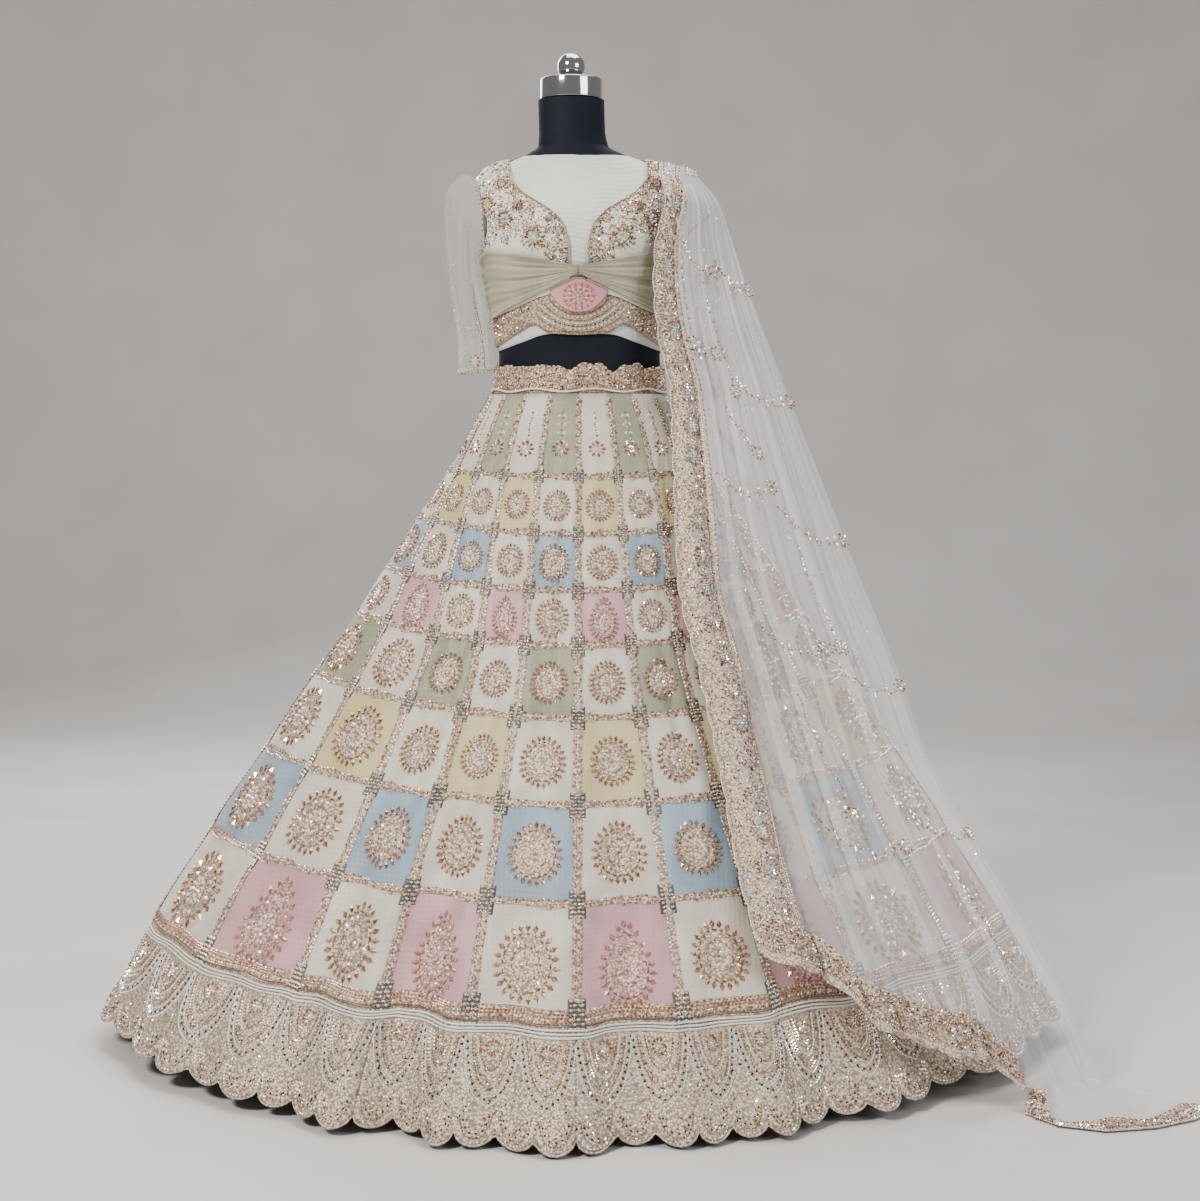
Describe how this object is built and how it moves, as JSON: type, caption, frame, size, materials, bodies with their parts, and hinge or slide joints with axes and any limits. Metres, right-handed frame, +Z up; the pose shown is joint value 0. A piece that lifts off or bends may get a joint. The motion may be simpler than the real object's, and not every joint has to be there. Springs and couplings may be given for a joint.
{
  "type": "lehenga choli on dress form",
  "caption": "Flared patchwork skirt with scalloped border, net blouse and net veil, worn by a limbless dress form on a round base.",
  "frame": {"origin": "on the floor, at the middle of the stand's round base", "axes": "+Z up, -Y to the front of the dress, +X to the wearer's left"},
  "size_m": [1.6126, 1.1289, 1.492],
  "materials": {
    "skirt_cloth": "silk organza patchwork in ivory, sage, yellow, blue and pink with bead lines",
    "skirt_border": "net densely covered with rose-gold, silver and pearl beads",
    "waistband": "gathered beaded net",
    "cord": "white twisted cord with pearls",
    "choli_cloth": "cream net over lining with bead embroidery",
    "choli_band": "beaded net band",
    "choli_gusset": "pink silk with a bead medallion",
    "choli_net": "sheer cream net",
    "veil_net": "sheer white net with a beaded scalloped edge",
    "form_cloth": "near-black stretched jersey",
    "form_metal": "polished",
    "stand_metal": "satin"
  },
  "bodies": {
    "root": {"skirt_gore_01": "skirt_cloth", "skirt_gore_02": "skirt_cloth", "skirt_gore_03": "skirt_cloth", "skirt_gore_04": "skirt_cloth", "skirt_gore_05": "skirt_cloth", "skirt_gore_06": "skirt_cloth", "skirt_gore_07": "skirt_cloth", "skirt_gore_08": "skirt_cloth", "skirt_gore_09": "skirt_cloth", "skirt_gore_10": "skirt_cloth", "skirt_gore_11": "skirt_cloth", "skirt_gore_12": "skirt_cloth", "skirt_gore_13": "skirt_cloth", "skirt_gore_14": "skirt_cloth", "skirt_gore_15": "skirt_cloth", "skirt_gore_16": "skirt_cloth", "skirt_gore_17": "skirt_cloth", "skirt_gore_18": "skirt_cloth", "skirt_gore_19": "skirt_cloth", "skirt_gore_20": "skirt_cloth", "skirt_border_01": "skirt_border", "skirt_border_02": "skirt_border", "skirt_border_03": "skirt_border", "skirt_border_04": "skirt_border", "skirt_border_05": "skirt_border", "skirt_border_06": "skirt_border", "skirt_border_07": "skirt_border", "skirt_border_08": "skirt_border", "skirt_border_09": "skirt_border", "skirt_border_10": "skirt_border", "skirt_waistband": "waistband", "skirt_waist_piping": "cord", "skirt_border_cord": "cord", "choli_front_left": "choli_cloth", "choli_front_right": "choli_cloth", "choli_back_left": "choli_cloth", "choli_back_right": "choli_cloth", "choli_band_front": "choli_band", "choli_band_back": "choli_band", "choli_lining_hem": "choli_net", "choli_yoke_net": "choli_net", "choli_drape_left": "choli_cloth", "choli_drape_right": "choli_cloth", "choli_gusset": "choli_gusset", "choli_sleeve_left": "choli_net", "choli_sleeve_right": "choli_net", "dupatta_front": "veil_net", "dupatta_back": "veil_net", "dupatta_shoulder": "veil_net", "dupatta_tail": "veil_net", "form_torso": "form_cloth", "form_cap": "form_metal", "form_finial": "form_metal", "form_pole": "stand_metal", "form_base": "stand_metal"}
  },
  "joints": []
}
